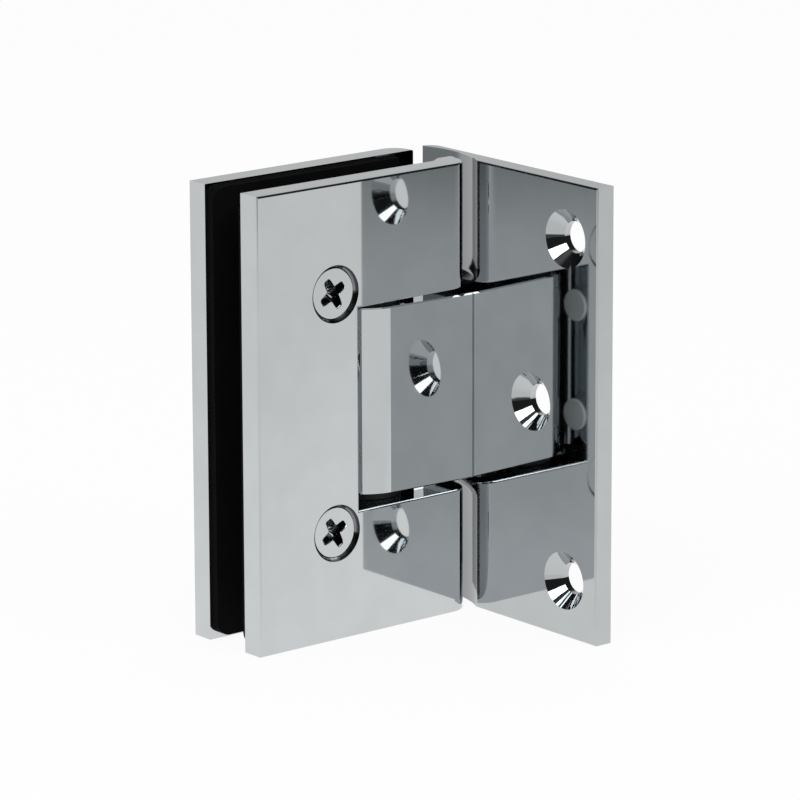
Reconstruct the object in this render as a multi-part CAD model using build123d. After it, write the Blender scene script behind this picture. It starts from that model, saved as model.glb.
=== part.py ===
from build123d import *
import os
from math import asin, atan2, cos, hypot, sin

# A wall-to-glass shower door hinge, closed, in millimetres.
# The pieces are drawn about the pivot axis: X points to the wall, Y away from the viewer, Z up,
# with Z = 0 halfway up. At the end all are moved so that the origin lies on the wall,
# in the middle of the wall plate's back face.

# Plates
plate_height = 90.0
clamp_thickness = 5.0
wall_thickness = 4.0
edge_softness = 0.4        # polished outer edges of the plates

# Glass and its gaskets
glass_thickness = 8.0
gasket_thickness = 1.5
gasket_inset = 0.7         # gasket edges stand this far inside the plates' edges
gasket_corner = 3.0

# Pivot and where the plates end, seen from it
pivot_to_wall_plate = 19.4
clamp_reach = 34.4         # pivot to the free end of the clamp plates
front_heel_gap = 1.0       # heel of the front clamp plate to the wall plate's face
front_heel_corner = 4.4    # rounded outer corner of that heel
rear_heel_gap = 2.5
rear_heel_corner = 4.0
wall_reach_front = 46.0    # pivot to the wall plate's free end
wall_reach_back = 7.5      # pivot to its short end
wall_back_corner = 2.6     # rounding of the short end, wall side
hollow_end_round = 2.8     # the hollow runs out in a round end beside the block
heel_clearance = 2.6       # hollow in the wall plate beyond the path of the heel

# Hinge block and its seat in the notch
block_thickness = 19.5
block_height = 37.2
nose_radius = 8.7          # the block narrows to this round end about the pivot
block_bevel = 0.25         # all edges of the block but the two across its foot
notch_clearance = 1.3      # round end to the notch wall
washer_thickness = 1.4
washer_play = 0.1
washer_inset = 1.8         # washer rim inside the round end
hollow_margin = 0.5        # hollow in the wall plate starts this far inside the notch's edge

# Rims inside the clamp plates, in the cut-out of the glass
rim_height = 2.7
rim_width = 3.5            # beside the notch wall
pin_land = 7.5             # above and below the notch
pin_land_margin = 2.5      # beside the pin
heel_rib_height = 1.5      # front plate only
heel_rib_width = 3.2
heel_rib_flank = 2.3       # its slope runs this far

# Clamp screws, M6
clamp_screw_x = -15.6
clamp_screw_z = 23.6
clamp_screw_radius = 3.0
clamp_head_radius = 5.6
clamp_boss_radius = 5.5
clamp_screw_length = 18.0
head_sink = 0.25           # heads sit this far below the face
tip_gap = 1.0              # blind hole beyond the screw's tip
thread_play = 0.05

# Pivot pin and what it turns in
pin_radius = 5.0
pin_running_play = 0.05
pin_free_play = 0.3
pin_end_gap = 0.3
detent_flat_depth = 0.4
bush_wall = 1.5

# Detent plungers and springs
plunger_radius = 3.9
plunger_spacing = 3.2      # free metal between the two plungers
plunger_to_bush = 0.7      # along the pin
plunger_play = 0.1
plunger_length = 7.0
plunger_pocket_depth = 4.0
plunger_wall = 1.0
nose_chamfer = 0.6
spring_wire = 0.8
spring_play = 0.15
spring_turns = 4
spring_bends = 14          # in each turn

# Block screws, M5, from behind
block_screw_inset = 5.1    # from the block's ends
block_screw_radius = 2.5
block_head_radius = 4.7
block_screw_depth = 9.0    # in the block

# Wall plate holes
wall_hole_radius = 3.1
wall_sink_radius = 5.7
outer_hole_z = 33.8
outer_hole_inset = 9.2     # from the free end
middle_hole_inset = 19.1   # from the free end

# Buffers in the notch wall
buffer_radius = 3.2
buffer_depth = 2.0
buffer_proud = 0.45
buffer_z = 11.2
buffer_bevel = 0.2

# Screws: tip, as a share of the screw's radius, and cross recess, as shares of the head's radius
screw_tip = 0.3
recess_reach = 0.58
recess_width = 0.24
recess_depth = 0.5
recess_foot = 0.35

# Sizes that follow
half_height = plate_height / 2
clamp_inner = glass_thickness / 2 + gasket_thickness
clamp_outer = clamp_inner + clamp_thickness
rim_face = clamp_inner - rim_height
front_heel_x = pivot_to_wall_plate - front_heel_gap
rear_heel_x = pivot_to_wall_plate - rear_heel_gap
block_half = block_thickness / 2
block_taper = atan2(block_half, pivot_to_wall_plate) - asin(nose_radius / hypot(pivot_to_wall_plate, block_half))
notch_wall_x = -(nose_radius + notch_clearance)
block_screw_z = block_height / 2 - block_screw_inset
plunger_z = plunger_spacing / 2 + plunger_radius
notch_half = block_height / 2 + washer_thickness + washer_play
rim_top = notch_half + pin_land
rib_x = front_heel_x - heel_rib_width - heel_rib_flank
wall_back_x = pivot_to_wall_plate + wall_thickness
heel_sweep = hypot(front_heel_x - front_heel_corner, clamp_outer - front_heel_corner) + front_heel_corner
hollow_radius = heel_sweep + heel_clearance
bush_radius = pin_radius + pin_running_play + bush_wall
bush_length = block_height / 2 - plunger_z - plunger_radius - plunger_to_bush
plunger_front = pin_radius + pin_free_play
plunger_bore = plunger_radius + plunger_play
spring_radius = plunger_radius - plunger_wall - spring_play - spring_wire / 2
outer_hole_y = -wall_reach_front + outer_hole_inset
middle_hole_y = -wall_reach_front + middle_hole_inset

# From the pivot axis to the origin on the wall
wall_plate_middle_y = (wall_reach_back - wall_reach_front) / 2
to_origin = Pos(-wall_back_x, -wall_plate_middle_y, 0)

towards_wall = Plane(origin=(0, 0, 0), x_dir=(0, 1, 0), z_dir=(1, 0, 0))
towards_rear = Plane(origin=(0, 0, 0), x_dir=(-1, 0, 0), z_dir=(0, 1, 0))


def slab(x0, x1, y0, y1, z0, z1):
    """A box between two corners."""
    middle = Pos((x0 + x1) / 2, (y0 + y1) / 2, (z0 + z1) / 2)
    return middle * Box(x1 - x0, y1 - y0, z1 - z0)


def rod(plane, u, v, radius, start, end):
    """A round bar that runs along a plane's normal, from start to end."""
    return extrude(plane.offset(start) * Pos(u, v) * Circle(radius), end - start)


def sink(plane, u, v, small, large, mouth, inwards):
    """A 90 degree countersink whose mouth lies at an offset on a plane and which narrows inwards."""
    rim = plane.offset(mouth) * Pos(u, v) * Circle(large)
    foot = plane.offset(mouth + inwards * (large - small)) * Pos(u, v) * Circle(small)
    return loft([rim, foot])


def head_seat(plane, u, v, radius, head_radius, face, inwards):
    """Room for a countersunk head that sits a little below a face."""
    small = radius + thread_play
    large = head_radius + thread_play
    head_face = face + inwards * head_sink
    lip = rod(plane, u, v, large, min(face, head_face), max(face, head_face))
    return lip + sink(plane, u, v, small, large, head_face, inwards)


def both_ends(make):
    """The same piece above and below the middle."""
    upper = make()
    return upper, upper.mirror(Plane.XY)


def cross_recess(head_radius):
    """Two tapered wings that form the driver recess, mouth at Z = 0 and pointing down."""
    reach = recess_reach * head_radius
    foot = recess_foot * reach
    depth = recess_depth * head_radius
    outline = Polygon((-reach, 0), (reach, 0), (foot, -depth), (-foot, -depth), align=None)
    wing = extrude(Plane.XZ * outline, recess_width * head_radius / 2, both=True)
    return Rot(0, 0, 45) * (wing + Rot(0, 0, 90) * wing)


def countersunk_screw(radius, head_radius, length):
    """A flat-head screw along -Z with its head's face at Z = 0."""
    tip = radius * screw_tip
    profile = Polygon(
        (0, 0),
        (head_radius, 0),
        (radius, radius - head_radius),
        (radius, tip - length),
        (radius - tip, -length),
        (0, -length),
        align=None,
    )
    return revolve(Plane.XZ * profile, Axis.Z) - cross_recess(head_radius)


def rim_outline(right):
    """The raised rim in a clamp plate: beside the notch, over the pin's ends and round the screws."""
    left = notch_wall_x - rim_width
    frame = Pos((left + right) / 2, 0) * Rectangle(right - left, 2 * rim_top)
    bosses = [Pos(clamp_screw_x, side * clamp_screw_z) * Circle(clamp_boss_radius) for side in (-1, 1)]
    return frame + bosses


def heel_rib():
    """A low rib along the front plate's heel, with a sloping flank towards the glass."""
    foot_y = -clamp_inner
    top_y = foot_y + heel_rib_height
    section = Polygon(
        (rib_x, foot_y),
        (front_heel_x, foot_y),
        (front_heel_x, top_y),
        (rib_x + heel_rib_flank, top_y),
        align=None,
    )
    return Pos(0, 0, -half_height) * extrude(section, plate_height)


def upright(sketch, y0, y1):
    """A sketch drawn in X and Z, made solid between two distances along Y."""
    return Pos(0, y1, 0) * extrude(Plane.XZ * sketch, y1 - y0)


def clamp_body(heel_x, heel_corner):
    """A clamp plate on the viewer's side before its screw holes, with its notch and inner rim."""
    plate = slab(-clamp_reach, heel_x, -clamp_outer, -clamp_inner, -half_height, half_height)
    heel_edge = plate.edges().filter_by(Axis.Z).sort_by_distance((heel_x, -clamp_outer, 0))[0]
    plate = fillet(heel_edge, heel_corner)
    notch = slab(notch_wall_x, heel_x + 1, -clamp_outer - 1, 0, -notch_half, notch_half)
    plate -= notch
    outer_face = plate.faces().filter_by(Axis.Y).sort_by(Axis.Y)[0]
    flat_end_x = heel_x - heel_corner
    outer_edges = outer_face.edges().filter_by(lambda edge: edge.center().X < flat_end_x - 0.1)
    plate = fillet(outer_edges, edge_softness)
    rim = upright(rim_outline(pin_radius + pin_land_margin), -clamp_inner, -rim_face)
    return plate + (rim - notch)


def front_clamp_plate():
    plate = clamp_body(front_heel_x, front_heel_corner)
    rib_notch = slab(rib_x - 1, front_heel_x + 1, -clamp_outer, 0, -notch_half, notch_half)
    plate += heel_rib() - rib_notch
    through = clamp_screw_radius + thread_play
    for z in (-clamp_screw_z, clamp_screw_z):
        plate -= rod(towards_rear, -clamp_screw_x, z, through, -clamp_outer - 1, 0)
        plate -= head_seat(towards_rear, -clamp_screw_x, z, clamp_screw_radius, clamp_head_radius, -clamp_outer, 1)
    buffer_y = -(clamp_outer + rim_face) / 2
    for z in (-buffer_z, buffer_z):
        pocket = buffer_radius + thread_play
        plate -= rod(towards_wall, buffer_y, z, pocket, notch_wall_x - buffer_depth, notch_wall_x + 1)
    return plate


def rear_clamp_plate():
    plate = clamp_body(rear_heel_x, rear_heel_corner).mirror(Plane.XZ)
    tip = -clamp_outer + head_sink + clamp_screw_length
    for z in (-clamp_screw_z, clamp_screw_z):
        plate -= rod(towards_rear, -clamp_screw_x, z, clamp_screw_radius + thread_play, 0, tip + tip_gap)
    return plate


def gasket_front():
    """A flat pad with the outline of the glass and its cut-out, clear of the rims and the block."""
    left = -clamp_reach + gasket_inset
    right = rib_x - gasket_inset
    outline = Pos((left + right) / 2, 0) * Rectangle(right - left, plate_height - 2 * gasket_inset)
    free_corners = outline.vertices().sort_by(Axis.X)[:2]
    outline = fillet(free_corners, gasket_corner)
    outline -= offset(rim_outline(front_heel_x), gasket_inset)
    return upright(outline, -clamp_inner, -clamp_inner + gasket_thickness)


def clamp_screw():
    screw = countersunk_screw(clamp_screw_radius, clamp_head_radius, clamp_screw_length)
    return Pos(clamp_screw_x, -clamp_outer + head_sink, clamp_screw_z) * Rot(90, 0, 0) * screw


def pivot_pin():
    """A round pin with flattened ends for the clamp plates and a flat for the plungers."""
    pin_half = rim_top - pin_end_gap
    pin = Cylinder(pin_radius, 2 * pin_half)
    for side in (-1, 1):
        cheek = slab(-pin_radius, pin_radius, rim_face, pin_radius + 1, notch_half, pin_half + 1)
        cheek = cheek if side == 1 else cheek.mirror(Plane.XY)
        pin -= cheek + cheek.mirror(Plane.XZ)
    flat_half = plunger_z + plunger_radius + plunger_play
    flat_x = pin_radius - detent_flat_depth
    return pin - slab(flat_x, pin_radius + 1, -pin_radius, pin_radius, -flat_half, flat_half)


def buffer():
    y = -(clamp_outer + rim_face) / 2
    pad = rod(towards_wall, y, buffer_z, buffer_radius, notch_wall_x - buffer_depth, notch_wall_x + buffer_proud)
    rim = pad.edges().sort_by(Axis.X)[-1]
    return chamfer(rim, buffer_bevel)


def hinge_block():
    """A block that narrows to a round nose about the pivot, bored for bushes, pin, plungers and screws."""
    tangent_x = -nose_radius * sin(block_taper)
    tangent_y = nose_radius * cos(block_taper)
    sides = Polygon(
        (tangent_x, -tangent_y),
        (pivot_to_wall_plate, -block_half),
        (pivot_to_wall_plate, block_half),
        (tangent_x, tangent_y),
        align=None,
    )
    block = extrude(sides + Circle(nose_radius), block_height / 2, both=True)
    ends = block.faces().filter_by(Axis.Z)
    rims = ends.edges().filter_by(lambda edge: edge.center().X < pivot_to_wall_plate - 0.1)
    block = chamfer(rims, block_bevel)
    seams = block.edges().filter_by(Axis.Z).group_by(Axis.X)[-1]
    block = chamfer(seams, block_bevel)
    block -= Cylinder(pin_radius + pin_free_play, block_height + 1)
    for side in (-1, 1):
        middle = side * (block_height - bush_length) / 2
        block -= Pos(0, 0, middle) * Cylinder(bush_radius, bush_length)
        block -= rod(towards_wall, 0, side * plunger_z, plunger_bore, 0, pivot_to_wall_plate)
        tapped = pivot_to_wall_plate - block_screw_depth - tip_gap
        hole = block_screw_radius + thread_play
        block -= rod(towards_wall, 0, side * block_screw_z, hole, tapped, pivot_to_wall_plate)
    return block


def bush():
    middle = (block_height - bush_length) / 2
    sleeve = Cylinder(bush_radius, bush_length) - Cylinder(pin_radius + pin_running_play, bush_length)
    return Pos(0, 0, middle) * sleeve


def washer():
    middle = (block_height + washer_thickness) / 2
    outer = nose_radius - washer_inset
    ring = Cylinder(outer, washer_thickness) - Cylinder(pin_radius + pin_free_play, washer_thickness)
    return Pos(0, 0, middle) * ring


def plunger():
    """A cup that faces the pin with its closed end and holds the spring in its back."""
    back = plunger_front + plunger_length
    cup = rod(towards_wall, 0, plunger_z, plunger_radius, plunger_front, back)
    nose = cup.edges().sort_by(Axis.X)[0]
    cup = chamfer(nose, nose_chamfer)
    pocket_radius = plunger_radius - plunger_wall
    return cup - rod(towards_wall, 0, plunger_z, pocket_radius, back - plunger_pocket_depth, back)


def spring():
    """A coil of six-sided wire in short straight stretches, from the plunger's pocket to the wall plate."""
    seat = plunger_front + plunger_length - plunger_pocket_depth
    length = pivot_to_wall_plate - seat - spring_wire
    curve = Helix(length / spring_turns, length, spring_radius)
    bends = spring_turns * spring_bends
    path = Polyline([curve @ (bend / bends) for bend in range(bends + 1)])
    start = Plane(path @ 0, z_dir=path % 0)
    coil = sweep(start * RegularPolygon(spring_wire / 2, 6), path, transition=Transition.RIGHT)
    return Pos(seat + spring_wire / 2, 0, plunger_z) * Rot(0, 90, 0) * coil


def block_screw():
    length = wall_thickness - head_sink + block_screw_depth
    screw = countersunk_screw(block_screw_radius, block_head_radius, length)
    return Pos(wall_back_x - head_sink, 0, block_screw_z) * Rot(0, 90, 0) * screw


def wall_plate():
    plate = slab(
        pivot_to_wall_plate, wall_back_x, -wall_reach_front, wall_reach_back, -half_height, half_height
    )
    back_corner = plate.edges().filter_by(Axis.Z).sort_by_distance((wall_back_x, wall_reach_back, 0))[0]
    plate = fillet(back_corner, wall_back_corner)
    face = plate.faces().filter_by(Axis.X).sort_by(Axis.X)[0]
    plate = fillet(face.edges(), edge_softness)
    hollow_start = notch_half - hollow_margin
    hollow = Pos(0, 0, hollow_start) * extrude(Circle(hollow_radius), half_height)
    hollow = fillet(hollow.edges().sort_by(Axis.Z)[0], hollow_end_round)
    plate -= hollow
    plate -= hollow.mirror(Plane.XY)
    holes = [(outer_hole_y, outer_hole_z), (outer_hole_y, -outer_hole_z), (middle_hole_y, 0)]
    for y, z in holes:
        plate -= rod(towards_wall, y, z, wall_hole_radius, pivot_to_wall_plate - 1, wall_back_x + 1)
        plate -= sink(towards_wall, y, z, wall_hole_radius, wall_sink_radius, pivot_to_wall_plate, 1)
    for z in (-block_screw_z, block_screw_z):
        hole = block_screw_radius + thread_play
        plate -= rod(towards_wall, 0, z, hole, pivot_to_wall_plate - 1, wall_back_x + 1)
        plate -= head_seat(towards_wall, 0, z, block_screw_radius, block_head_radius, wall_back_x, -1)
    return plate


def save(name, shape):
    shape = to_origin * shape
    shape.label = name
    export_step(shape, f"parts/{name}.step")


os.makedirs("parts", exist_ok=True)

save("wall_plate", wall_plate())
save("hinge_block", hinge_block())
save("pivot_pin", pivot_pin())
save("front_clamp_plate", front_clamp_plate())
save("rear_clamp_plate", rear_clamp_plate())
save("front_gasket", gasket_front())
save("rear_gasket", gasket_front().mirror(Plane.XZ))

pairs = {
    "block_screw": block_screw,
    "bush": bush,
    "washer": washer,
    "plunger": plunger,
    "spring": spring,
    "clamp_screw": clamp_screw,
    "buffer": buffer,
}
for name, make in pairs.items():
    upper, lower = both_ends(make)
    save(f"upper_{name}", upper)
    save(f"lower_{name}", lower)
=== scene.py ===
# %% [markdown]
# # A shower door hinge in polished chrome
#
# The real thing holds a glass door on a wall: an offset wall plate, a block with a pivot pin, and two
# notched plates that grip the glass between black pads. Its shapes are already exact in the CAD model,
# so this lesson is mostly about finishes: how mirror chrome is made to look like chrome, and what
# stands round it to be mirrored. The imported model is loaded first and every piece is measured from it.

# %% Load the model
import math

import bmesh
import bpy
from mathutils import Matrix, Vector


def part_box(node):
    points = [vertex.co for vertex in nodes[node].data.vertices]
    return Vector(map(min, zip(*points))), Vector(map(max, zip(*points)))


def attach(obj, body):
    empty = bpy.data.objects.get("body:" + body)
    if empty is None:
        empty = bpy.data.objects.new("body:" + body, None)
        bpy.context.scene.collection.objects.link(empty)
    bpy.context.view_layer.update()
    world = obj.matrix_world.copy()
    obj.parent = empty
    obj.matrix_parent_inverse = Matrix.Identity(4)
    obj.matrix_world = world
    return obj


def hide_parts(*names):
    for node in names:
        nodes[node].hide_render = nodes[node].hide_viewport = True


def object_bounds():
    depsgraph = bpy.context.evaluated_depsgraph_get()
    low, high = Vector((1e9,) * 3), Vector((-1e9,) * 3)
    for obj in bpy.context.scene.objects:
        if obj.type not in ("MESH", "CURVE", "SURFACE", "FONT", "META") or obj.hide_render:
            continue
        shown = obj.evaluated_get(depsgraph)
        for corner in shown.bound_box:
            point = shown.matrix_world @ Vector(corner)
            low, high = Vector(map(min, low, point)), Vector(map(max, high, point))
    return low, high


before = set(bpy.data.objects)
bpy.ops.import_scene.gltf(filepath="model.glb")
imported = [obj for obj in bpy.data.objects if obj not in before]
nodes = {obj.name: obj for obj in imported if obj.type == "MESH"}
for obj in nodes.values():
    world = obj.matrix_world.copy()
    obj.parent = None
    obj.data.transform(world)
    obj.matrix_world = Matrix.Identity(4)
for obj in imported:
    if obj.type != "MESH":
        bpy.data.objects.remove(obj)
cad_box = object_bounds()
MM = 0.001
print("pieces:", len(nodes), "size in mm:", [round((b - a) / MM, 1) for a, b in zip(*cad_box)])

# %% [markdown]
# ## The camera
#
# The photograph looks down a little on the hinge from the room side, with a long lens, so that the
# plates hardly narrow with distance. A camera can be aimed with a Track To constraint or by hand. Here
# its heading, tilt and roll are turned into three axes, because those angles are what was measured.

# %% Camera
HEADING = math.radians(50.51)    # from +X towards +Y
TILT = math.radians(14.05)       # downwards
ROLL = math.radians(-0.19)
LENS = 233.4
STANDS_AT = (-0.6417, -0.7418, 0.2437)

forward = Vector((math.cos(HEADING) * math.cos(TILT), math.sin(HEADING) * math.cos(TILT), -math.sin(TILT)))
level_right = Vector((math.sin(HEADING), -math.cos(HEADING), 0))
level_up = level_right.cross(forward)
right = math.cos(ROLL) * level_right + math.sin(ROLL) * level_up
up = -math.sin(ROLL) * level_right + math.cos(ROLL) * level_up

lens = bpy.data.cameras.new("camera")
lens.lens = LENS
lens.sensor_width = 36
lens.clip_end = 20
camera = bpy.data.objects.new("camera", lens)
axes = Matrix((right, up, -forward)).transposed().to_4x4()
camera.matrix_world = Matrix.Translation(STANDS_AT) @ axes
bpy.context.scene.collection.objects.link(camera)
bpy.context.scene.camera = camera
print("camera stands", round(camera.location.length, 3), "m from the hinge")

# %% [markdown]
# ## Arithmetic for materials
#
# A pattern in a material is a small sum: noise times a strength plus a base value. Wiring Math nodes by
# hand hides that sum, so `Number` wraps a socket and lets Python's own operators add the nodes. `Finish`
# is one material and has a single method that makes any other node.


# %% Number and Finish
class Number:
    """A number that flows through a material's nodes."""

    def __init__(self, finish, socket):
        self.finish = finish
        self.socket = socket

    def maths(self, operation, *values):
        node = self.finish.node("ShaderNodeMath", {"operation": operation}, dict(enumerate(values)))
        return Number(self.finish, node.outputs[0])

    def __add__(self, other):
        return self.maths("ADD", self, other)

    __radd__ = __add__

    def __sub__(self, other):
        return self.maths("SUBTRACT", self, other)

    def __rsub__(self, other):
        return self.maths("SUBTRACT", other, self)

    def __mul__(self, other):
        return self.maths("MULTIPLY", self, other)

    __rmul__ = __mul__

    def __truediv__(self, other):
        return self.maths("DIVIDE", self, other)

    def __pow__(self, other):
        return self.maths("POWER", self, other)

    def ramp(self, low, high, start=0.0, end=1.0):
        """Goes smoothly from start at low to end at high."""
        node = self.finish.node(
            "ShaderNodeMapRange",
            {"interpolation_type": "SMOOTHSTEP"},
            {"Value": self, "From Min": low, "From Max": high, "To Min": start, "To Max": end},
        )
        return Number(self.finish, node.outputs[0])


class Finish:
    """The nodes of one material or world."""

    def __init__(self, owner):
        owner.use_nodes = True
        self.owner = owner
        self.tree = owner.node_tree
        self.tree.nodes.clear()

    def node(self, kind, settings=(), values=()):
        """A node, with its settings made first and then its sockets filled with values or links."""
        node = self.tree.nodes.new(kind)
        for name, value in dict(settings).items():
            setattr(node, name, value)
        for name, value in dict(values).items():
            socket = node.inputs[name]
            if isinstance(value, Number):
                self.tree.links.new(value.socket, socket)
            elif isinstance(value, bpy.types.NodeSocket):
                self.tree.links.new(value, socket)
            else:
                socket.default_value = value
        return node

    def number(self, socket):
        return Number(self, socket)

    def place(self, scale=(1, 1, 1), turn=(0, 0, 0)):
        """The piece's own coordinates, stretched and turned."""
        here = self.node("ShaderNodeTexCoord").outputs["Object"]
        mapping = self.node("ShaderNodeMapping", {}, {"Vector": here, "Scale": scale, "Rotation": turn})
        return mapping.outputs[0]

    def noise(self, size_mm, detail=2.0, rough=0.5, stretch=(1, 1, 1), turn=(0, 0, 0)):
        """Smooth noise whose lumps are about size_mm across."""
        where = self.place(tuple(s / (size_mm * MM) for s in stretch), turn)
        values = {"Vector": where, "Scale": 1.0, "Detail": detail, "Roughness": rough}
        return self.number(self.node("ShaderNodeTexNoise", {}, values).outputs[0])

    def coordinates(self):
        """The three distances of a point from the model's origin, in millimetres."""
        here = self.node("ShaderNodeTexCoord").outputs["Object"]
        return [self.number(socket) / MM for socket in self.node("ShaderNodeSeparateXYZ", {}, {0: here}).outputs]

    def shade(self, factor, *colours):
        """A colour between two colours."""
        first, second = (c if isinstance(c, bpy.types.NodeSocket) else (*c, 1) for c in colours)
        return self.node("ShaderNodeMix", {"data_type": "RGBA"}, {0: factor, 6: first, 7: second}).outputs[2]

    def bump(self, height, distance_mm, strength=1.0):
        values = {"Height": height, "Distance": distance_mm * MM, "Strength": strength}
        return self.node("ShaderNodeBump", {}, values).outputs[0]

    def surface(self, **values):
        """The Principled shader, joined to the output."""
        names = {name.replace("_", " ").title(): value for name, value in values.items()}
        names = {{"Ior": "IOR", "Specular Ior Level": "Specular IOR Level"}.get(n, n): v for n, v in names.items()}
        shader = self.node("ShaderNodeBsdfPrincipled", {}, names)
        self.node("ShaderNodeOutputMaterial", {}, {"Surface": shader.outputs[0]})
        return self.owner


def finish(name):
    return Finish(bpy.data.materials.new(name))


def dress(material, *names):
    """Gives CAD nodes a material."""
    for name in names:
        for slot in nodes[name].material_slots:
            slot.material = material
    print(material.name, "on", len(names), "pieces")


# %% [markdown]
# ## Mirror chrome
#
# Chrome plating over polished brass reflects a little over half of the light, slightly less of the red,
# and shows almost nothing of itself. What tells it from a computer's perfect mirror are the last marks
# of the polishing wheel: a faint waviness, a haze that changes from place to place, and hairline
# scratches. All three are noise on the piece's own coordinates, in millimetres, and all are very weak.
# Where a shade mask is given, it mixes painted shade, a near-black colour, into the chrome's colour
# and makes the surface rougher.


# %% Chrome
CHROME = (0.560, 0.588, 0.603)
CHROME_WORN = (0.530, 0.560, 0.575)
# near-black colour of the painted shade that the masks below mix into chrome
PAINTED_SHADE_COLOUR = (0.012, 0.014, 0.020)
POLISHED = 0.028          # roughness of the brightest places
DULLING = 0.12            # roughness that a shade mask adds


def chrome(name, haze=0.02, wave=0.0012, brushing=(1, 12, 1), tone=1.0, shade_mask=None):
    """Chrome. Where shade_mask, a function of the finish, is above 0, painted shade darkens it and it gets rougher.
    """
    f = finish(name)
    cloud = f.noise(9.0, 3.0)
    hair = f.noise(1.6, 4.0, 0.7, stretch=brushing, turn=(0.2, 0.1, 0.3)).ramp(0.62, 0.72)
    roughness = POLISHED + cloud * haze + hair * 0.035
    ripple = f.noise(14.0, 1.0)
    worn, bright = ([c * tone for c in shade] for shade in (CHROME_WORN, CHROME))
    colour = f.shade(cloud.ramp(0.3, 0.75), worn, bright)
    # painted shade: the mask darkens the colour towards near-black and adds roughness
    if shade_mask:
        painted_shade = shade_mask(f)
        colour = f.shade(painted_shade, colour, PAINTED_SHADE_COLOUR)
        roughness = roughness + painted_shade * DULLING
    return f.surface(
        base_color=colour,
        metallic=1.0,
        roughness=roughness,
        normal=f.bump(ripple * 0.8 + hair * 0.02, wave),
    )


dress(chrome("block_chrome", brushing=(1, 1, 8)), "hinge_block")
dress(chrome("rear_plate_chrome", brushing=(1, 1, 12)), "rear_clamp_plate")

# %% [markdown]
# ## Painted shade in narrow places
#
# The seats round the clamp screws' heads and the walls of their cross recesses get painted shade, a dark
# colour, and those thin dark shapes are what makes the screws stand out from the plate. The hollows of the
# wall plate get a weaker painted shade and a little more roughness than its face. All three are masks
# made from distances: how far behind a face a point lies, and how far from a screw's axis.

# %% Sizes for masks and screws
screw_low, screw_high = (Vector(c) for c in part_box("upper_clamp_screw"))
lower_screw_low = Vector(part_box("lower_clamp_screw")[0])
screw_middle = (screw_low + screw_high) / 2
plate_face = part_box("front_clamp_plate")[0][1]
wall_low, wall_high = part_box("wall_plate")
HOLLOW_START = 8.3        # mm along the wall where the wall plate's hollows begin
HOLLOW_DEPTH = 3.0        # mm behind the wall plate's face
HOLLOW_SHADE_AND_DULLING = 0.45        # strength of the painted shade there, and of its added roughness
SHANK_RADIUS = 3.0 * MM
HEAD_RADIUS = 4.95 * MM
SEAT_RADIUS = 5.7 * MM    # of the countersink in the plate
SINK = 0.5 * MM           # the face lies this far inside the CAD head's face
face_y = screw_low.y + SINK
cone_end = face_y + HEAD_RADIUS - SHANK_RADIUS
print("head face at", round(face_y / MM, 2), "mm, plate face at", round(plate_face / MM, 2), "mm")


# %% Painted shade masks
def seat_painted_shade(f):
    """Painted shade in the countersinks round the clamp screws' heads, a little less dark deeper in."""
    x, y, z = f.coordinates()
    height = z.maths("ABSOLUTE", z)
    aside = (x - screw_middle.x / MM) ** 2 + (height - screw_middle.z / MM) ** 2
    near = (aside ** 0.5).ramp(SEAT_RADIUS / MM, SEAT_RADIUS / MM - 0.05)
    depth = y - plate_face / MM
    return near * (depth.ramp(0.1, 0.3, 0.0, 0.94) - depth.ramp(0.4, 0.8, 0.0, 0.35))


def recess_painted_shade_and_highlight(f):
    """Painted shade on the walls of the cross recess. Its floor, further in, gets less of it, a painted highlight."""
    depth = f.coordinates()[1] - face_y / MM
    return depth.ramp(0.05, 0.45, 0.0, 0.9) - depth.ramp(1.7, 2.3, 0.0, 0.8)


def hollow_painted_shade_and_dulling(f):
    """Painted shade and extra roughness in the wall plate's two hollows that the door's heel sweeps through."""
    x, y, z = f.coordinates()
    depth = x - wall_low[0] / MM
    height = z.maths("ABSOLUTE", z)
    edge = wall_high[2] / MM
    inside = depth.ramp(0.03, 0.15) * depth.ramp(HOLLOW_DEPTH - 0.05, HOLLOW_DEPTH + 0.05, 1.0, 0.0)
    below_edge = height.ramp(edge - 0.15, edge - 0.05, 1.0, 0.0)
    return HOLLOW_SHADE_AND_DULLING * inside * below_edge * y.ramp(HOLLOW_START, HOLLOW_START + 0.2)


# painted shade: the three masks darken the hollows, the screw seats and the recesses
dress(chrome("wall_plate_chrome", brushing=(1, 1, 10), tone=0.87, shade_mask=hollow_painted_shade_and_dulling), "wall_plate")
dress(chrome("front_plate_chrome", brushing=(1, 1, 12), shade_mask=seat_painted_shade), "front_clamp_plate")
screw_chrome = chrome("screw_chrome", haze=0.06, wave=0.003, brushing=(6, 1, 6), shade_mask=recess_painted_shade_and_highlight)

# %% [markdown]
# ## Steel, brass and plastic inside
#
# The pin, screws and springs are bare steel and the plungers are brass. Turned steel has fine rings
# round its axis, which a noise stretched along the surface imitates; the plastics are matt, with the
# small unevenness of a moulded face.


# %% Steel and brass
def steel(name, colour, rings, tone=0.12):
    f = finish(name)
    turned = f.noise(0.35, 3.0, 0.6, stretch=rings)
    stain = f.noise(4.0, 4.0)
    low = tuple(c * (1 - tone) for c in colour)
    return f.surface(
        base_color=f.shade(stain.ramp(0.35, 0.7), low, colour),
        metallic=1.0,
        roughness=0.2 + turned * 0.18 + stain * 0.06,
        normal=f.bump(turned, 0.006),
    )


dress(steel("pin_steel", (0.56, 0.56, 0.55), (0.05, 0.05, 1)), "pivot_pin")
dress(steel("screw_steel", (0.47, 0.47, 0.48), (1, 0.05, 0.05)), "upper_block_screw", "lower_block_screw")
spring_steel = steel("spring_steel", (0.4, 0.4, 0.41), (1, 0.2, 0.2))
dress(spring_steel, "upper_spring", "lower_spring")
dress(steel("plunger_brass", (0.72, 0.52, 0.25), (1, 0.05, 0.05)), "upper_plunger", "lower_plunger")


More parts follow.
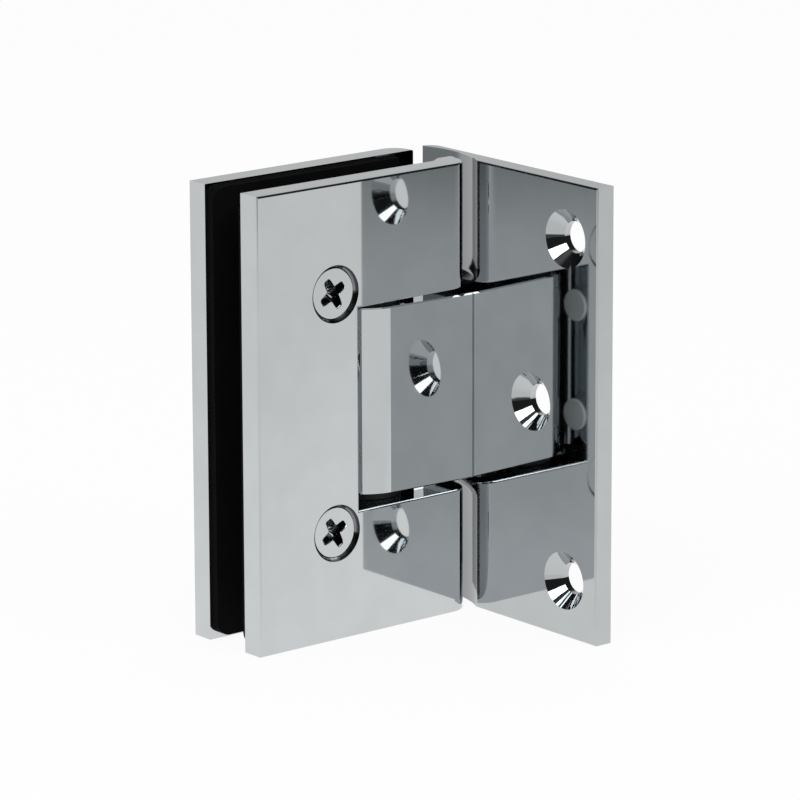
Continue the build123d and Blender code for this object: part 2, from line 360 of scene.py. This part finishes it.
# %% Plastic and rubber
def moulded(name, dark, light, grain_mm, roughness, depth_mm, specular=0.5):
    f = finish(name)
    grain = f.noise(grain_mm, 4.0, 0.6)
    cloud = f.noise(6.0, 2.0)
    return f.surface(
        base_color=f.shade(cloud * 0.6 + grain * 0.4, dark, light),
        roughness=roughness + grain * 0.14,
        specular_ior_level=specular,
        normal=f.bump(grain, depth_mm),
    )


black_nylon = moulded("washer_plastic", (0.012, 0.012, 0.014), (0.03, 0.03, 0.034), 0.5, 0.38, 0.008)
dress(black_nylon, "upper_washer", "lower_washer")
black_acetal = moulded("bush_plastic", (0.02, 0.02, 0.022), (0.045, 0.045, 0.05), 0.6, 0.42, 0.008)
dress(black_acetal, "upper_bush", "lower_bush")
rubber = moulded("gasket_rubber", (0.002, 0.002, 0.0022), (0.006, 0.006, 0.0065), 0.25, 0.68, 0.03, 0.05)
dress(rubber, "front_gasket", "rear_gasket")
pale_grey = moulded("buffer_plastic", (0.72, 0.74, 0.74), (0.82, 0.84, 0.83), 0.8, 0.35, 0.01)
dress(pale_grey, "upper_buffer", "lower_buffer")

# %% [markdown]
# ## Threaded clamp screws
#
# Two screws pull the plates together, and their threads show in the gap where the glass goes. A thread
# could be modelled by hand once, but it follows a rule: the radius at a point depends only on how far
# along the screw and how far round it the point lies. So a Geometry Nodes tree bends a flat grid into
# that surface, adds a head, and sets a copy on each of two points.

# %% Node tree helper
class Shape:
    """A Geometry Nodes tree with one method that makes nodes."""

    def __init__(self, name, inputs):
        self.tree = bpy.data.node_groups.new(name, "GeometryNodeTree")
        self.tree.interface.new_socket("Geometry", in_out="INPUT", socket_type="NodeSocketGeometry")
        for title, kind in inputs.items():
            self.tree.interface.new_socket(title, in_out="INPUT", socket_type=kind)
        self.tree.interface.new_socket("Geometry", in_out="OUTPUT", socket_type="NodeSocketGeometry")
        self.given = self.tree.nodes.new("NodeGroupInput").outputs

    def node(self, kind, settings=(), values=()):
        node = self.tree.nodes.new(kind)
        for name, value in dict(settings).items():
            setattr(node, name, value)
        for name, value in dict(values).items():
            if isinstance(value, bpy.types.NodeSocket):
                self.tree.links.new(value, node.inputs[name])
            else:
                node.inputs[name].default_value = value
        return node

    def maths(self, operation, *values):
        return self.node("ShaderNodeMath", {"operation": operation}, dict(enumerate(values))).outputs[0]

    def end(self, geometry, material):
        solid = self.node("GeometryNodeRealizeInstances", {}, {0: geometry})
        coloured = self.node("GeometryNodeSetMaterial", {}, {"Geometry": solid.outputs[0], "Material": material})
        self.node("NodeGroupOutput", {}, {0: coloured.outputs[0]})
        return self.tree


def run_tree(name, start, tree, material, **inputs):
    """Puts a tree on a mesh, fills its inputs by socket identifier and returns the plain result."""
    carrier = bpy.data.objects.new(name + "_carrier", start)
    bpy.context.scene.collection.objects.link(carrier)
    modifier = carrier.modifiers.new("shape", "NODES")
    modifier.node_group = tree
    for item in tree.interface.items_tree:
        if item.in_out == "INPUT" and item.name in inputs:
            modifier[item.identifier] = inputs[item.name]
    shown = carrier.evaluated_get(bpy.context.evaluated_depsgraph_get())
    mesh = bpy.data.meshes.new_from_object(shown)
    carrier.modifiers.remove(modifier)
    bpy.data.objects.remove(carrier)
    mesh.name = name
    tidy = bmesh.new()
    tidy.from_mesh(mesh)
    bmesh.ops.remove_doubles(tidy, verts=tidy.verts, dist=1e-7)
    bmesh.ops.dissolve_degenerate(tidy, edges=tidy.edges, dist=1e-7)
    bmesh.ops.recalc_face_normals(tidy, faces=tidy.faces)
    tidy.to_mesh(mesh)
    tidy.free()
    mesh.materials.clear()
    mesh.materials.append(material)
    mesh.polygons.foreach_set("use_smooth", [True] * len(mesh.polygons))
    mesh.set_sharp_from_angle(angle=math.radians(28))
    piece = bpy.data.objects.new(name, mesh)
    bpy.context.scene.collection.objects.link(piece)
    print(name, "has", sum(len(p.vertices) - 2 for p in mesh.polygons), "triangles")
    return piece


# %% [markdown]
# ## The head and its cross recess
#
# A head is a stack of rings: up the cone, over a small round rim, across the flat face and down into the
# recess. Every ring has the same number of points, so neighbours are joined by plain quads. The recess
# ring isn't a circle: its distance from the middle follows the outline of four tapered wings.

# %% Recess outline
AROUND = 64                           # points round the head and the thread
WING_REACH = 3.1 * MM
WING_CORNER = math.radians(12.5)      # half the angle that a wing's end spans
INNER_REACH = 1.5 * MM                # middle to the hollow between two wings
WING_TURN = math.radians(30)          # how far the driver left the cross turned


def recess_reach(angle):
    """Distance from the middle to the recess outline at an angle."""
    beside = abs((angle - WING_TURN + math.pi / 4) % (math.pi / 2) - math.pi / 4)
    if beside <= WING_CORNER:
        return WING_REACH / math.cos(beside)
    corner = WING_REACH / math.cos(WING_CORNER)
    from_hollow = (math.pi / 4 - beside) / (math.pi / 4 - WING_CORNER)
    return INNER_REACH + (corner - INNER_REACH) * from_hollow ** 2


print("recess is", round(2 * WING_REACH / MM, 1), "mm across its wings")


# %% Head
def ring_points(reach, depth):
    """One ring of the head. The reach is a number or follows the angle."""
    points = []
    for step in range(AROUND):
        angle = math.tau * step / AROUND
        length = reach(angle) if callable(reach) else reach
        aside, above = length * math.cos(angle), length * math.sin(angle)
        points.append((screw_middle.x + aside, face_y + depth, screw_middle.z + above))
    return points


def shrunk(share):
    """The recess outline at a share of its size."""
    return lambda angle: share * recess_reach(angle)


# each ring: reach from the axis, depth behind the face
rings = [
    (SHANK_RADIUS, HEAD_RADIUS - SHANK_RADIUS),
    (HEAD_RADIUS - 0.14 * MM, 0.14 * MM),
    (HEAD_RADIUS - 0.05 * MM, 0.05 * MM),
    (HEAD_RADIUS - 0.08 * MM, 0.012 * MM),
    (HEAD_RADIUS - 0.18 * MM, 0),
    (HEAD_RADIUS - 0.24 * MM, 0),
    (shrunk(1.12), 0),
    (shrunk(1.06), 0),
    (shrunk(1.02), 0.02 * MM),
    (shrunk(0.98), 0.09 * MM),
    (shrunk(0.88), 1.2 * MM),
    (shrunk(0.66), 2.2 * MM),
    (shrunk(0.25), 2.55 * MM),
]
bottom = (screw_middle.x, face_y + 2.7 * MM, screw_middle.z)
build = bmesh.new()
loops = [[build.verts.new(point) for point in ring_points(*ring)] for ring in rings]
for outer, inner in zip(loops, loops[1:]):
    for i in range(AROUND):
        j = (i + 1) % AROUND
        build.faces.new((outer[i], outer[j], inner[j], inner[i]))
tip = build.verts.new(bottom)
for i in range(AROUND):
    build.faces.new((loops[-1][i], loops[-1][(i + 1) % AROUND], tip))
head = bpy.data.meshes.new("screw_head")
build.to_mesh(head)
build.free()
print("head has", len(head.polygons), "faces")

# %% Thread tree
thread = Shape(
    "threaded_screws",
    {
        "Radius": "NodeSocketFloat",
        "Length": "NodeSocketFloat",
        "Pitch": "NodeSocketFloat",
        "Depth": "NodeSocketFloat",
        "Start": "NodeSocketVector",
        "Spacing": "NodeSocketVector",
    },
)
PER_TURN = 8
turns = thread.maths("DIVIDE", thread.given["Length"], thread.given["Pitch"])
rows = thread.maths("ROUND", thread.maths("MULTIPLY", turns, PER_TURN))
grid_size = {"Size X": 1.0, "Size Y": 1.0, "Vertices X": AROUND + 1, "Vertices Y": rows}
grid = thread.node("GeometryNodeMeshGrid", {}, grid_size)
spot = thread.node("ShaderNodeSeparateXYZ", {}, {0: thread.node("GeometryNodeInputPosition").outputs[0]})
turn = thread.maths("ADD", spot.outputs[0], 0.5)
along = thread.maths("ADD", spot.outputs[1], 0.5)
depth_in = thread.maths("MULTIPLY", along, thread.given["Length"])
phase = thread.maths("FRACT", thread.maths("SUBTRACT", thread.maths("DIVIDE", depth_in, thread.given["Pitch"]), turn))
valley = thread.maths("ABSOLUTE", thread.maths("SUBTRACT", thread.maths("MULTIPLY", phase, 2.0), 1.0))
fade = thread.maths("MINIMUM", thread.maths("DIVIDE", depth_in, thread.given["Pitch"]), 1.0)
groove = thread.maths("MULTIPLY", thread.maths("MULTIPLY", valley, fade), thread.given["Depth"])
threaded = thread.maths("SUBTRACT", thread.given["Radius"], groove)
left = thread.maths("SUBTRACT", thread.given["Length"], depth_in)
bevelled = thread.maths("ADD", left, thread.maths("MULTIPLY", thread.given["Radius"], 0.7))
whole = thread.maths("MINIMUM", threaded, bevelled)
radius = thread.maths("MULTIPLY", whole, thread.maths("LESS_THAN", along, 0.9995))
angle = thread.maths("MULTIPLY", turn, math.tau)
ring = thread.node(
    "ShaderNodeCombineXYZ",
    {},
    {
        0: thread.maths("MULTIPLY", radius, thread.maths("COSINE", angle)),
        1: depth_in,
        2: thread.maths("MULTIPLY", radius, thread.maths("SINE", angle)),
    },
)
placed = thread.node("ShaderNodeVectorMath", {"operation": "ADD"}, {0: ring.outputs[0], 1: thread.given["Start"]})
shank = thread.node("GeometryNodeSetPosition", {}, {"Geometry": grid.outputs[0], "Position": placed.outputs[0]})
screw = thread.node("GeometryNodeJoinGeometry")
for part in (shank.outputs[0], thread.given["Geometry"]):
    thread.tree.links.new(part, screw.inputs[0])
points = thread.node("GeometryNodeMeshLine", {}, {"Count": 2, "Offset": thread.given["Spacing"]})
copies = thread.node("GeometryNodeInstanceOnPoints", {}, {"Points": points.outputs[0], "Instance": screw.outputs[0]})
thread.end(copies.outputs[0], screw_chrome)

clamp_screws = run_tree(
    "clamp_screws",
    head,
    thread.tree,
    screw_chrome,
    Radius=SHANK_RADIUS,
    Length=screw_high.y - cone_end,
    Pitch=1.0 * MM,
    Depth=0.55 * MM,
    Start=(screw_middle.x, cone_end, screw_middle.z),
    Spacing=(0, 0, lower_screw_low.z - screw_low.z),
)
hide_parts("upper_clamp_screw", "lower_clamp_screw")
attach(clamp_screws, "door_side")

# %% [markdown]
# ## Floor and light
#
# Chrome shows its surroundings, so they are most of its look. The hinge stands on a white floor, and the
# camera looks down, so every upright face mirrors that floor. Rays from the camera see plain white;
# mirrored rays, which the Light Path node tells apart, see the floor glow as painted light: bright close
# by, greyer further out and darkest far out on the room side.

# %% Floor
FLOOR_TINT = (1.0, 0.985, 0.975)
TO_ROOM = (-0.636, -0.772, 0.0)
FLOOR_GAP = 0.05 * MM     # between floor and hinge


def along_floor(f, direction):
    """How far a point of the floor lies in a direction, in millimetres."""
    here = f.node("ShaderNodeTexCoord").outputs["Object"]
    share = f.node("ShaderNodeVectorMath", {"operation": "DOT_PRODUCT"}, {0: here, 1: direction})
    return f.number(share.outputs["Value"]) / MM


def floor_material():
    f = finish("floor_white")
    path = f.node("ShaderNodeLightPath")
    grain = f.noise(3.0, 2.0)
    pale = f.node("ShaderNodeBsdfDiffuse", {}, {"Color": f.shade(grain, (0.8, 0.8, 0.8), (0.84, 0.84, 0.84))})
    white = f.node("ShaderNodeEmission", {}, {"Color": (1, 1, 1, 1), "Strength": 1.0})
    seen = f.node("ShaderNodeMixShader", {}, {0: 0.93, 1: pale.outputs[0], 2: white.outputs[0]})
    towards_room = along_floor(f, TO_ROOM)
    # painted light: for mirrored rays the floor glows, brightest close by, fading to the room side and behind
    glow_strength = towards_room.ramp(20, 95, 1.035, 0.895) * towards_room.ramp(285, 585, 1.0, 0.1)
    behind = along_floor(f, (0, 1, 0)).ramp(30, 260, 1.0, 0.91)
    mirrored_floor_glow = f.node("ShaderNodeEmission", {}, {"Color": (*FLOOR_TINT, 1), "Strength": glow_strength * behind})
    direct = f.number(path.outputs["Is Camera Ray"])
    mirrored = f.number(path.outputs["Is Glossy Ray"])
    first = f.node("ShaderNodeMixShader", {}, {0: direct, 1: pale.outputs[0], 2: seen.outputs[0]})
    both = f.node("ShaderNodeMixShader", {}, {0: mirrored, 1: first.outputs[0], 2: mirrored_floor_glow.outputs[0]})
    f.node("ShaderNodeOutputMaterial", {}, {"Surface": both.outputs[0]})
    return f.owner


floor_height = cad_box[0].z - FLOOR_GAP
floor_mesh = bpy.data.meshes.new("floor")
REACH = 4.0               # metres from the middle to each side
signs = ((-1, -1), (1, -1), (1, 1), (-1, 1))
corners = [(x * REACH, y * REACH, floor_height) for x, y in signs]
floor_mesh.from_pydata(corners, [], [(0, 1, 2, 3)])
floor_mesh.materials.append(floor_material())
floor = bpy.data.objects.new("floor", floor_mesh)
bpy.context.scene.collection.objects.link(floor)
print("floor at", round(floor_height / MM, 2), "mm")


# %% [markdown]
# ## World and lamps
#
# The room is a soft tent: pale behind the hinge, dark on the camera's side, and half lit straight above.
# That dark side is what draws the fine black lines along the rounded edges of the plates. One large lamp
# from the upper left and a weaker one from the right give the rubber and the screws their shape.

# %% World
world = bpy.data.worlds.new("studio")
bpy.context.scene.world = world
w = Finish(world)
path = w.node("ShaderNodeLightPath")
look = w.node("ShaderNodeTexCoord").outputs["Generated"]


def side(direction):
    """How much a ray goes towards a side of the room, from -1 to 1."""
    values = {0: look, 1: tuple(Vector(direction).normalized())}
    return w.number(w.node("ShaderNodeVectorMath", {"operation": "DOT_PRODUCT"}, values).outputs["Value"])


behind_hinge = side((forward.x, forward.y, 0)).ramp(0.55, 0.9, 0.02, 0.64)
overhead = side((0, 0, 1)).ramp(0.75, 0.97, 0.0, 0.4)
mirror_level = behind_hinge + overhead
seen_directly = w.number(path.outputs["Is Camera Ray"])
is_mirrored = w.number(path.outputs["Is Glossy Ray"])
SOFT_LIGHT = 0.75         # what matt surfaces get from all round
SEEN_WHITE = 1.0          # what the camera sees of the room
soft, plain, mirror = (
    w.node("ShaderNodeBackground", {}, {"Color": (1, 1, 1, 1), "Strength": strength})
    for strength in (SOFT_LIGHT, SEEN_WHITE, mirror_level)
)
one = w.node("ShaderNodeMixShader", {}, {0: is_mirrored, 1: soft.outputs[0], 2: mirror.outputs[0]})
two = w.node("ShaderNodeMixShader", {}, {0: seen_directly, 1: one.outputs[0], 2: plain.outputs[0]})
w.node("ShaderNodeOutputWorld", {}, {"Surface": two.outputs[0]})
print("world nodes:", len(world.node_tree.nodes))


# %% Lamps
def lamp(name, place, size, watts):
    light = bpy.data.lights.new(name, "AREA")
    light.shape = "DISK"
    light.size = size
    light.energy = watts
    thing = bpy.data.objects.new(name, light)
    thing.location = place
    thing.rotation_euler = (-Vector(place)).to_track_quat("-Z", "Y").to_euler()
    bpy.context.scene.collection.objects.link(thing)
    print(name, "at", place, "gives", watts, "W")


lamp("main_lamp", (-0.75, -0.35, 0.85), 0.7, 5.0)
lamp("fill_lamp", (0.25, -0.9, 0.7), 0.6, 2.0)

# %% [markdown]
# ## Colour setting
#
# The colour setting is the plain one, so that a colour in a material comes out as it was written.

# %% Finish
bpy.context.scene.view_settings.view_transform = "Standard"
